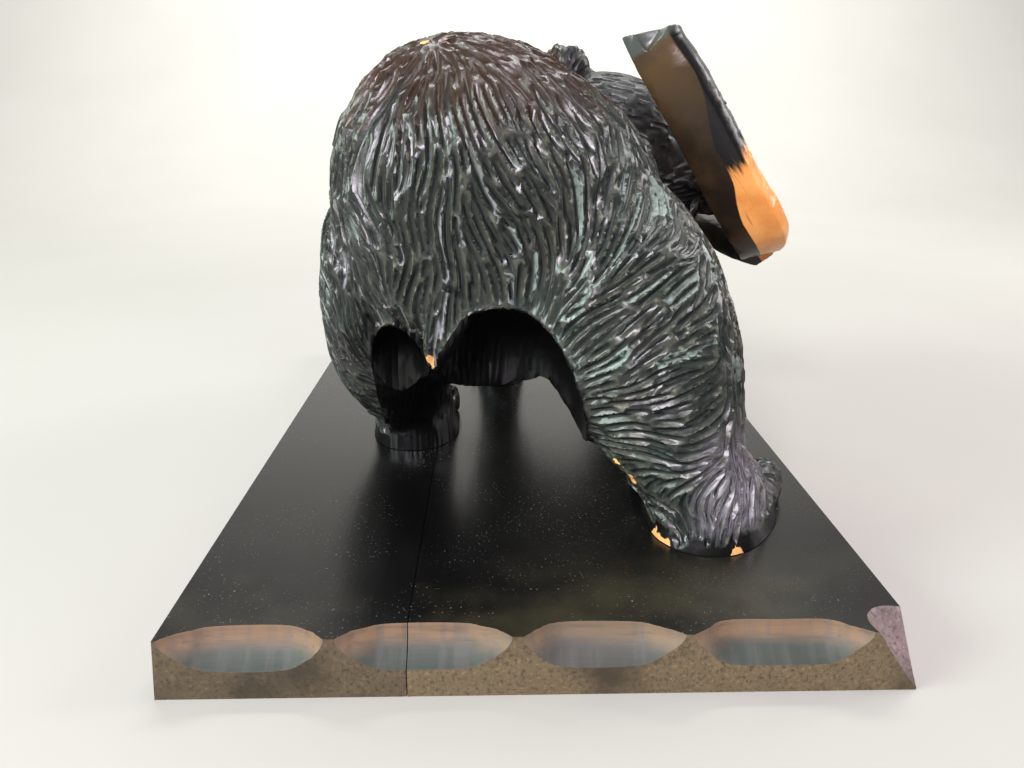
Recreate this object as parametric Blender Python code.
"""A walking bear carved from one block of wood, with a salmon held across its mouth.

It stands on a plinth glued up from two boards, whose ends are trimmed with shallow gouged scoops.
Metres, +Z up. The origin is the centre of the plinth's underside and the bear walks towards +Y.
"""
import math
import random

import bmesh
import bpy
import numpy as np
from mathutils import Vector, noise
from mathutils.bvhtree import BVHTree

# Plinth
PLINTH_LENGTH = 0.400
PLINTH_WIDTH = 0.252
PLINTH_THICKNESS = 0.022
PLINTH_FLARE = 0.0015
NARROW_BOARD_WIDTH = 0.0825
BOARD_GAP = 0.0003

# Scoops along both ends of the plinth
SCOOP_SHARES = (0.241, 0.257, 0.238, 0.264)
SCOOP_LEFT_MARGIN = 0.0015
SCOOP_RIGHT_MARGIN = 0.0150
SCOOP_RADIUS = 0.0125
SCOOP_BITE = 0.009
SCOOP_CUSP = 0.003
SCOOP_END_TAPER = 0.015

# The gouge cut across the right rear corner: its radius at the top and how it narrows and leans
CORNER_GOUGE_RADIUS = 0.0135
CORNER_GOUGE_NARROWING = 0.57
CORNER_GOUGE_LEAN = 0.005
CORNER_GOUGE_OVERRUN = 0.004

# Bear. Its pose is laid out on a figure POSE_HEIGHT units tall, in the same axes as the plinth.
BEAR_HEIGHT = 0.194
POSE_HEIGHT = 194.0
SOLE_GAP = 0.0003

# Locks of fur, in pose units
LOCK_PITCH = 15.0
LOCK_DEPTH = 3.0
LOCK_LENGTH = 74.0
LOCK_STEP = 3.0
LOCK_SWING = 0.84
LOCK_SWING_SPAN = 52.0

# A lock's channel: half width as a share of the pitch, and where it sinks in and runs out
CHANNEL_HALF_WIDTH = 0.62
CHANNEL_SINK = 0.25
CHANNEL_RUN_OUT = 0.12

# Room a lock needs beside its neighbours, as shares of the pitch: to start, and to go on
START_ROOM = 0.86
RUNNING_ROOM = 0.62
SHORTEST_LOCK = 5

# Bare of fur: the rim of the soles, the muzzle, and what lies this near the middle of the salmon
SOLE_RIM = 5.0
MUZZLE_START = 30.0
MUZZLE_REACH = 84.0
SALMON_REACH = 21.0

# Toes, as shares of the foot's half width, and the arc that they stand on
TOES = 5
TOE_SPREAD = 0.80
TOE_HALF_WIDTH = 0.26
TOE_HALF_LENGTH = 0.60
TOE_ARC = 0.22
TOE_HALF_HEIGHT = 10.0
TOE_MIDDLE = 7.0

# Fineness of the modelled skin
FORM_VOXEL = 2.4
DETAIL_VOXEL = 1.92
CARVED_TRIANGLES = 8600

# Head, in pose units: the middle of the skull, the way the nose points, and the tip to one side
HEAD_CENTRE = Vector((51, 19, 147))
HEAD_WAY = Vector((0.89, -0.31, -0.31)).normalized()
HEAD_TIP = math.radians(12)
HEAD_RIGHT = (HEAD_WAY.cross((0, 0, 1)).normalized() * math.cos(HEAD_TIP)
              + HEAD_WAY.cross((0, 0, 1)).cross(HEAD_WAY).normalized() * math.sin(HEAD_TIP))
HEAD_UP = HEAD_RIGHT.cross(HEAD_WAY)

UNIT = BEAR_HEIGHT / POSE_HEIGHT
SOLE_HEIGHT = PLINTH_THICKNESS + SOLE_GAP


def start_empty():
    """Remove whatever the file opened with."""
    for old in list(bpy.data.objects):
        bpy.data.objects.remove(old, do_unlink=True)


def finish_material(name, colour, roughness):
    """A plain finish in the colour of the real one."""
    material = bpy.data.materials.new(name)
    material.use_nodes = True
    shader = material.node_tree.nodes["Principled BSDF"]
    shader.inputs["Base Color"].default_value = (*colour, 1.0)
    shader.inputs["Roughness"].default_value = roughness
    shader.inputs["Metallic"].default_value = 0.0
    return material


def object_from(name, mesh):
    piece = bpy.data.objects.new(name, mesh)
    bpy.context.scene.collection.objects.link(piece)
    return piece


def applied(piece):
    """Replace an object's mesh by its evaluated one and drop its modifiers."""
    depsgraph = bpy.context.evaluated_depsgraph_get()
    mesh = bpy.data.meshes.new_from_object(piece.evaluated_get(depsgraph))
    piece.modifiers.clear()
    piece.data = mesh
    return piece


def oval(half_width, half_height):
    """The eight radii of an ellipse, from the right side round over the top."""
    radii = []
    for eighth in range(8):
        angle = eighth * math.pi / 4
        across = half_height * math.cos(angle)
        along = half_width * math.sin(angle)
        radii.append(half_width * half_height / math.hypot(across, along))
    return radii


def curve_through(rows, per_span):
    """Rows of numbers read along a smooth curve through the given rows, with its slope."""
    rows = np.array(rows, float)
    ends = np.vstack([2 * rows[0] - rows[1], rows, 2 * rows[-1] - rows[-2]])
    points = []
    slopes = []
    for span in range(len(rows) - 1):
        a, b, c, d = ends[span:span + 4]
        last = span == len(rows) - 2
        for t in np.linspace(0, 1, per_span + 1)[:None if last else -1]:
            points.append(0.5 * (2 * b + (c - a) * t + (2 * a - 5 * b + 4 * c - d) * t ** 2
                                 + (3 * b - a - 3 * c + d) * t ** 3))
            slopes.append(0.5 * ((c - a) + 2 * (2 * a - 5 * b + 4 * c - d) * t
                                 + 3 * (3 * b - a - 3 * c + d) * t ** 2))
    return np.array(points), np.array(slopes)


def around(radii, sides):
    """Eight radii spread smoothly over a ring of the given number of sides."""
    spread = np.fft.rfft(radii)
    full = np.zeros(sides // 2 + 1, complex)
    full[:5] = spread
    full[4] *= 0.5
    return np.fft.irfft(full, sides) * sides / 8


def loft(stations, up=(0, 0, 1), sides=32, per_span=5):
    """A closed skin through sections, each (centre, eight radii), square to the path through them."""
    rows = [[*centre, *radii] for centre, radii in stations]
    points, slopes = curve_through(rows, per_span)
    shape = bmesh.new()
    rings = []
    for point, slope in zip(points, slopes):
        along = Vector(slope[:3]).normalized()
        side = along.cross(Vector(up)).normalized()
        top = side.cross(along)
        ring = []
        for step, radius in enumerate(around(point[3:], sides)):
            angle = 2 * math.pi * step / sides
            reach = (side * math.cos(angle) + top * math.sin(angle)) * max(radius, 0.2)
            ring.append(shape.verts.new(Vector(point[:3]) + reach))
        rings.append(ring)
    for lower, upper in zip(rings, rings[1:]):
        for step in range(sides):
            after = (step + 1) % sides
            shape.faces.new((lower[step], lower[after], upper[after], upper[step]))
    shape.faces.new(rings[0][::-1])
    shape.faces.new(rings[-1])
    bmesh.ops.recalc_face_normals(shape, faces=shape.faces)
    return shape


def ball(centre, radii, turn=0.0):
    """An ellipsoid, turned about the vertical by the given degrees."""
    shape = bmesh.new()
    bmesh.ops.create_uvsphere(shape, u_segments=24, v_segments=14, radius=1.0)
    bmesh.ops.scale(shape, vec=radii, verts=shape.verts)
    spin = math.radians(turn)
    for vert in shape.verts:
        x, y, z = vert.co
        vert.co = (centre[0] + x * math.cos(spin) - y * math.sin(spin),
                   centre[1] + x * math.sin(spin) + y * math.cos(spin), centre[2] + z)
    return shape


def one_mesh(name, shapes):
    """The given shapes as one mesh of overlapping bodies."""
    whole = bmesh.new()
    for shape in shapes:
        part = bpy.data.meshes.new(name)
        shape.to_mesh(part)
        shape.free()
        whole.from_mesh(part)
        bpy.data.meshes.remove(part)
    mesh = bpy.data.meshes.new(name)
    whole.to_mesh(mesh)
    whole.free()
    return mesh


def fused(piece, voxel, smoothing):
    """Melt the overlapping bodies of an object into one skin and soften it."""
    remesh = piece.modifiers.new("melt", "REMESH")
    remesh.mode = "VOXEL"
    remesh.voxel_size = voxel
    if smoothing:
        soften = piece.modifiers.new("soften", "SMOOTH")
        soften.factor = 0.5
        soften.iterations = smoothing
    return applied(piece)


# The bear's forms, in pose units: right is +X, forward +Y, up +Z, with the soles at 0

def trunk():
    """Rump, back and chest: broad and high on the left haunch, sloping down the right flank."""
    return loft([
        ((-12, -119, 110), [22, 22, 24, 26, 24, 22, 24, 22]),
        ((-12, -112, 111), [46, 44, 46, 52, 48, 46, 46, 46]),
        ((-12, -92, 113), [67, 63, 67, 72, 65, 66, 66, 64]),
        ((-11, -58, 115), [76, 70, 77, 83, 74, 81, 74, 74]),
        ((4, -5, 114), [63, 55, 75, 76, 74, 72, 66, 64]),
        ((20, 42, 112), [54, 49, 73, 66, 64, 66, 62, 60]),
        ((32, 76, 108), [48, 45, 63, 56, 54, 54, 52, 50]),
        ((38, 98, 103), [32, 32, 40, 34, 34, 32, 32, 32]),
        ((40, 106, 101), [12, 12, 15, 12, 12, 12, 12, 12]),
    ])


def neck():
    return loft([
        ((14, 56, 112), oval(50, 48)),
        ((26, 46, 126), oval(44, 42)),
        ((36, 34, 137), oval(38, 35)),
        ((44, 25, 143), oval(33, 29)),
    ], up=(0, 1, 1))


def on_head(ahead, right, up):
    """A point given from the middle of the skull: towards the nose, the right ear and the crown."""
    return HEAD_CENTRE + HEAD_WAY * ahead + HEAD_RIGHT * right + HEAD_UP * up


def skull():
    """The back of the head, turned to the bear's right, lowered and tipped a little."""
    return loft([
        (on_head(-36, 0, 0), oval(17, 15)),
        (on_head(-22, 0, 1), oval(31, 26)),
        (on_head(-2, 0, 1), oval(36, 30)),
        (on_head(14, 0, -1), oval(32, 27)),
        (on_head(28, 0, -6), oval(23, 20)),
        (on_head(38, 0, -9), oval(15, 13)),
    ], up=HEAD_UP)


def face():
    """Muzzle, nose, lower jaw, brows, cheeks and ears."""
    muzzle = loft([
        (on_head(16, 0, -8), oval(23, 18)),
        (on_head(30, 0, -9), oval(19, 15.5)),
        (on_head(43, 0, -9), oval(17, 13.5)),
        (on_head(55, 0, -9), oval(16, 12.5)),
        (on_head(62, 0, -9), oval(12, 9.5)),
        (on_head(65, 0, -9), oval(6, 5)),
    ], up=HEAD_UP)
    jaw = loft([
        (on_head(0, 0, -24), oval(22, 13)),
        (on_head(18, 0, -33), oval(18, 10.5)),
        (on_head(36, 0, -40), oval(15, 8.5)),
        (on_head(48, 0, -44), oval(12, 7)),
        (on_head(53, 0, -45), oval(6, 4)),
    ], up=HEAD_UP)
    forms = [muzzle, jaw, ball(on_head(60, 0, -2), (7, 8.5, 6.5), -20)]
    for side in (-1, 1):
        forms.append(ball(on_head(19, 13 * side, 15), (10, 8, 7), -20))
        forms.append(ball(on_head(4, 25 * side, -10), (20, 14, 16), -20))
        forms.append(ball(on_head(-33, 21 * side, 20), (6.5, 11, 13), -20))
    return forms


def leg(stations, foot_turn):
    """A leg from hip to sole, then its foot with five blunt toes; toes point along the turned +Y."""
    limb = loft(stations, up=(0, 1, 0))
    x, y, half_width, half_length = (*stations[-1][0][:2], stations[-1][1][0], stations[-1][1][2])
    toes = []
    turn = math.radians(foot_turn)
    toe_size = (half_width * TOE_HALF_WIDTH, half_width * TOE_HALF_LENGTH, TOE_HALF_HEIGHT)
    for across in np.linspace(-1, 1, TOES):
        ahead = half_length * (1.0 - TOE_ARC * across * across)
        sideways = across * half_width * TOE_SPREAD
        centre = (x + sideways * math.cos(turn) - ahead * math.sin(turn),
                  y + sideways * math.sin(turn) + ahead * math.cos(turn), TOE_MIDDLE)
        toes.append(ball(centre, toe_size, foot_turn))
    return [limb, *toes]


def hind_legs():
    """The right hind leg is stretched back, the left one is stepping forward."""
    right = leg([
        ((28, -72, 102), oval(45, 50)),
        ((38, -92, 84), oval(45, 47)),
        ((47, -107, 64), oval(42, 40)),
        ((57, -115, 43), oval(33.5, 32)),
        ((65, -120, 24), oval(27, 29)),
        ((70, -119, 10), [26, 30, 30, 30, 26, 32, 31, 32]),
        ((71, -116, -6), [26, 33, 34, 33, 27, 35, 35, 35]),
    ], -14)
    left = leg([
        ((-47, -60, 104), oval(45, 46)),
        ((-57, -48, 78), oval(39, 44)),
        ((-62, -38, 54), oval(33, 37)),
        ((-61, -28, 34), oval(27, 30)),
        ((-57, -20, 18), oval(22, 27)),
        ((-55, -14, -6), oval(23, 34)),
    ], 4)
    return right + left


def front_legs():
    """The left foreleg is drawn back and the right one reaches forward."""
    left = leg([
        ((-2, 52, 96), oval(34, 38)),
        ((-6, 58, 70), oval(27, 31)),
        ((-10, 66, 45), oval(18, 21)),
        ((-11, 72, 24), oval(14, 17)),
        ((-11, 80, -6), oval(18, 27)),
    ], 6)
    right = leg([
        ((58, 66, 98), oval(34, 38)),
        ((66, 80, 72), oval(28, 32)),
        ((74, 98, 46), oval(20, 23)),
        ((77, 108, 24), oval(16, 18)),
        ((78, 118, -6), oval(19, 28)),
    ], -10)
    return left + right


def rear_hollows():
    """Two hollows cut up behind the fur's lower edge, one each side of the tail lock."""
    return [ball((-11, -117, 45), (34, 40, 43)), ball((-55, -98, 48), (14, 27, 30))]


def tail_lock():
    return loft([
        ((-28, -104, 104), oval(15, 10)),
        ((-32, -108, 88), oval(12, 8)),
        ((-36, -109, 74), oval(8, 6)),
        ((-39, -108, 62), oval(3.5, 3.5)),
    ], up=(0, 1, 0))


SALMON_PATH = [
    ((53, -57, 185), (10.5, 7.5)),
    ((62, -58, 173), (12.0, 9.0)),
    ((77, -56, 152), (12.4, 10.0)),
    ((94, -50, 129), (12.4, 11.0)),
    ((109, -42, 110), (13.0, 11.5)),
    ((114, -28, 101), (12.5, 11.0)),
    ((111, -8, 100), (12.5, 10.0)),
    ((105, 14, 102), (11.0, 9.0)),
    ((100, 36, 105), (8.0, 6.0)),
    ((96, 54, 109), (5.0, 3.6)),
]


def salmon():
    """A slim fish bent round the muzzle: the open-jawed head stands up on the near side."""
    body = loft([(centre, oval(*half)) for centre, half in SALMON_PATH], up=(0, -1, 0.2))
    upper = loft([
        ((62, -57, 173), oval(8.5, 7.5)),
        ((63.5, -57, 184), oval(5.5, 5.5)),
        ((65, -57, 194), oval(1.6, 2.5)),
    ], up=(0, -1, 0))
    lower = loft([
        ((54, -58, 174), oval(8.5, 8.0)),
        ((47, -58, 184), oval(5.5, 6.5)),
        ((44.5, -58, 190), oval(2.6, 4.5)),
    ], up=(0, -1, 0))
    tail = loft([
        ((97, 50, 108), oval(5, 3)),
        ((93, 63, 111), oval(12, 2.8)),
        ((90, 75, 115), oval(19, 2.2)),
    ], up=(1, 0, 0))
    return [body, upper, lower, tail]


def cut(piece, shapes, name):
    """Take the shapes away from an object."""
    for number, shape in enumerate(shapes):
        cutter = object_from(f"{name}_{number}", one_mesh(name, [shape]))
        cutter.hide_render = True
        cutter.display_type = "WIRE"
        taking = piece.modifiers.new(cutter.name, "BOOLEAN")
        taking.operation = "DIFFERENCE"
        taking.object = cutter
        applied(piece)
        bpy.data.objects.remove(cutter, do_unlink=True)


def carved_forms():
    """The smooth bear and salmon as one skin, before the fur is cut, in pose units."""
    body = [trunk(), neck(), skull(), *hind_legs(), *front_legs()]
    bear = fused(object_from("bear_forms", one_mesh("bear_forms", body)), FORM_VOXEL, 10)
    cut(bear, rear_hollows(), "hollow")
    details = one_mesh("details", [tail_lock(), *face(), *salmon()])
    joined = bmesh.new()
    joined.from_mesh(bear.data)
    joined.from_mesh(details)
    joined.to_mesh(bear.data)
    joined.free()
    fused(bear, DETAIL_VOXEL, 2)
    return bear


def ramp(value, start, end):
    """0 up to start, 1 from end on, and even between them; end may be the lower one."""
    return min(max((value - start) / (end - start), 0), 1)


def hair_direction(point, normal):
    """The way the fur lies at a point of the skin: back and down, swept inwards on the haunches."""
    x, y, z = point
    down = Vector((0, 0, -1))
    back = Vector((-0.22, -0.97, 0))
    low = ramp(z, 120, 50)
    on_right_haunch = low * ramp(y, -70, -100) * ramp(x, -6, 24)
    on_left_haunch = low * ramp(x, -20, -35) * ramp(y, -10, -30)
    way = down + back * (0.75 - 0.55 * low)
    way += Vector((-1.7, 0, -0.6)) * on_right_haunch
    way += Vector((0.35, 0, 0)) * on_left_haunch
    from_head = Vector(point) - HEAD_CENTRE
    on_head_share = ramp(from_head.dot(HEAD_WAY), -24, 0) * ramp(from_head.length, 66, 50)
    way = way.lerp(down * 1.3 - HEAD_WAY, on_head_share)
    flat = way - normal * way.dot(normal)
    if flat.length < 0.05:
        flat = back - normal * back.dot(normal)
    flat.normalize()
    swing = LOCK_SWING * noise.noise(Vector(point) / LOCK_SWING_SPAN)
    return flat * math.cos(swing) + normal.cross(flat) * math.sin(swing)


class Strokes:
    """Evenly spaced gouge strokes traced over a skin along the lie of the fur."""

    def __init__(self, tree, pitch):
        self.tree = tree
        self.pitch = pitch
        self.cells = {}
        self.lines = []

    def cell(self, point):
        return tuple(int(math.floor(value / self.pitch)) for value in point)

    def crowded(self, point, reach, own=None):
        """Whether a point is nearer than reach to a stroke other than its own."""
        i, j, k = self.cell(point)
        for a in (i - 1, i, i + 1):
            for b in (j - 1, j, j + 1):
                for c in (k - 1, k, k + 1):
                    for line, other in self.cells.get((a, b, c), ()):
                        if line is not own and (other - point).length < reach:
                            return True
        return False

    def trace(self, seed, length, step, covered):
        """One stroke through the seed, or None where there is no room for it."""
        if self.crowded(seed, self.pitch * START_ROOM):
            return None
        line = [seed]
        for way in (1, -1):
            point = seed
            for _ in range(int(length / step / 2)):
                place, normal, _, _ = self.tree.find_nearest(point)
                ahead = place + hair_direction(place, normal) * step * way
                point, normal, _, _ = self.tree.find_nearest(ahead)
                if not covered(point) or self.crowded(point, self.pitch * RUNNING_ROOM):
                    break
                line = line + [point] if way == 1 else [point] + line
        if len(line) < SHORTEST_LOCK:
            return None
        for point in line:
            self.cells.setdefault(self.cell(point), []).append((id(line), point))
        self.lines.append(line)
        return line


def fur_grows(point):
    """Fur covers all but the soles, the muzzle and the salmon."""
    if point.z < SOLE_RIM:
        return False
    from_head = point - HEAD_CENTRE
    if from_head.length < MUZZLE_REACH and from_head.dot(HEAD_WAY) > MUZZLE_START:
        return False
    path = [Vector(centre) for centre, _ in SALMON_PATH]
    return min((point - place).length for place in path) > SALMON_REACH


def carve(bear):
    """Cut the locks of fur: each stroke is a hollow channel, and ridges stay between them."""
    mesh = bear.data
    shape = bmesh.new()
    shape.from_mesh(mesh)
    bmesh.ops.triangulate(shape, faces=shape.faces)
    shape.normal_update()
    tree = BVHTree.FromBMesh(shape)
    seeds = [vert.co.copy() for vert in shape.verts]
    random.Random(7).shuffle(seeds)
    strokes = Strokes(tree, LOCK_PITCH)
    for seed in seeds:
        if fur_grows(seed):
            strokes.trace(seed, LOCK_LENGTH, LOCK_STEP, fur_grows)
    places = np.array([vert.co for vert in shape.verts])
    depths = np.zeros(len(places))
    half = LOCK_PITCH * CHANNEL_HALF_WIDTH
    for line in strokes.lines:
        points = np.array(line)
        share = (np.arange(len(points)) + 0.5) / len(points)
        strength = np.minimum(1, np.minimum(share / CHANNEL_SINK, (1 - share) / CHANNEL_RUN_OUT))
        low = points.min(0) - half
        high = points.max(0) + half
        near = np.nonzero(np.all((places > low) & (places < high), axis=1))[0]
        if not len(near):
            continue
        apart = np.linalg.norm(places[near][:, None] - points[None], axis=2)
        closest = apart.argmin(1)
        across = apart.min(1) / half
        channel = LOCK_DEPTH * strength[closest] * np.clip(1 - across ** 1.5, 0, 1)
        depths[near] = np.maximum(depths[near], channel)
    for vert, depth in zip(shape.verts, depths):
        vert.co -= vert.normal * float(depth)
    shape.to_mesh(mesh)
    shape.free()


def lighter(piece, triangles):
    """Drop to the given number of triangles, keeping the ridges."""
    thin = piece.modifiers.new("thin", "DECIMATE")
    thin.ratio = min(1.0, triangles / len(piece.data.polygons))
    return applied(piece)


def flat_soles(piece):
    """Cut the soles off flat at height 0, in pose units."""
    shape = bmesh.new()
    shape.from_mesh(piece.data)
    everything = list(shape.verts) + list(shape.edges) + list(shape.faces)
    sliced = bmesh.ops.bisect_plane(shape, geom=everything, dist=0.01, plane_co=(0, 0, 0),
                                    plane_no=(0, 0, -1), clear_outer=True)
    rim = [item for item in sliced["geom_cut"] if isinstance(item, bmesh.types.BMEdge)]
    bmesh.ops.triangle_fill(shape, edges=rim, use_beauty=True)
    bmesh.ops.recalc_face_normals(shape, faces=shape.faces)
    shape.to_mesh(piece.data)
    shape.free()


def bear_with_salmon():
    bear = carved_forms()
    carve(bear)
    lighter(bear, CARVED_TRIANGLES)
    flat_soles(bear)
    for vert in bear.data.vertices:
        vert.co = vert.co * UNIT + Vector((0, 0, SOLE_HEIGHT))
    bear.name = "bear_with_salmon"
    bear.data.name = bear.name
    bear.data.materials.clear()
    bear.data.materials.append(finish_material("black_stained_wood", (0.035, 0.038, 0.033), 0.42))
    return bear


def scoop(x, half_length, end):
    """The cutter of one scoop: a round gouge run along the top edge of an end, lifted out slowly."""
    y = end * (PLINTH_LENGTH / 2 - SCOOP_BITE + SCOOP_RADIUS)
    stations = []
    for share in (-1.0, -0.96, -0.86, -0.72, -0.5, 0, 0.5, 0.72, 0.86, 0.96, 1.0):
        inside = max(abs(share) * half_length - half_length + SCOOP_END_TAPER, 0) / SCOOP_END_TAPER
        radius = SCOOP_RADIUS - SCOOP_BITE * (1 - math.sqrt(max(1 - inside ** 2, 0)))
        stations.append(((x + share * half_length, y, PLINTH_THICKNESS), oval(radius, radius)))
    return loft_metres(stations)


def scoops_between(left, right):
    """The scoops of both ends that reach between two X positions."""
    start = -PLINTH_WIDTH / 2 + SCOOP_LEFT_MARGIN
    room = PLINTH_WIDTH - SCOOP_LEFT_MARGIN - SCOOP_RIGHT_MARGIN
    cutters = []
    for number, share in enumerate(SCOOP_SHARES):
        middle = start + room * (sum(SCOOP_SHARES[:number]) + share / 2)
        half_length = (room * share - SCOOP_CUSP) / 2
        if middle + half_length > left and middle - half_length < right:
            cutters += [scoop(middle, half_length, end) for end in (-1, 1)]
    return cutters


def loft_metres(stations):
    """A loft given in metres, worked out in millimetres so that its smallest radius stays tiny."""
    shape = loft([([1000 * value for value in centre], [1000 * value for value in radii])
                  for centre, radii in stations], sides=24, per_span=1)
    bmesh.ops.scale(shape, vec=(0.001, 0.001, 0.001), verts=shape.verts)
    return shape


def corner_gouge():
    """A slanting gouge that takes the upright corner off, wide at the top and a point below."""
    stations = []
    for share in (0.0, 0.5, 1.0):
        height = share * (PLINTH_THICKNESS + 2 * CORNER_GOUGE_OVERRUN) - CORNER_GOUGE_OVERRUN
        outside = CORNER_GOUGE_LEAN * (0.8 - share)
        radius = CORNER_GOUGE_RADIUS * (1 - (1 - share) * 2 * (1 - CORNER_GOUGE_NARROWING))
        centre = (PLINTH_WIDTH / 2 + outside, -PLINTH_LENGTH / 2 - outside, height)
        stations.append((centre, oval(radius, radius * (1 + 0.3 * share))))
    return loft_metres(stations)


def board(name, left, right, colour):
    """One plinth board between two X positions, its outer sides flared towards the bottom."""
    edge = PLINTH_WIDTH / 2
    corners = []
    for z, lean in ((0.0, 0.0), (PLINTH_THICKNESS, PLINTH_FLARE)):
        low = left + lean if left <= -edge else left
        high = right - lean if right >= edge else right
        reach = PLINTH_LENGTH / 2 - lean / 2
        corners += [(low, -reach, z), (high, -reach, z), (high, reach, z), (low, reach, z)]
    shape = bmesh.new()
    verts = [shape.verts.new(corner) for corner in corners]
    for face in ((3, 2, 1, 0), (4, 5, 6, 7), (0, 1, 5, 4), (1, 2, 6, 5), (2, 3, 7, 6), (3, 0, 4, 7)):
        shape.faces.new([verts[index] for index in face])
    piece = object_from(name, one_mesh(name, [shape]))
    cutters = scoops_between(left, right)
    if right >= edge:
        cutters.append(corner_gouge())
    cut(piece, cutters, f"{name}_gouge")
    piece.data.materials.clear()
    piece.data.materials.append(finish_material(f"{name}_lacquer", colour, 0.3))
    return piece


def plinth():
    edge = PLINTH_WIDTH / 2
    seam = -edge + NARROW_BOARD_WIDTH
    board("plinth_board_narrow", -edge, seam, (0.030, 0.028, 0.025))
    board("plinth_board_wide", seam + BOARD_GAP, edge, (0.034, 0.031, 0.027))


start_empty()
plinth()
bear_with_salmon()
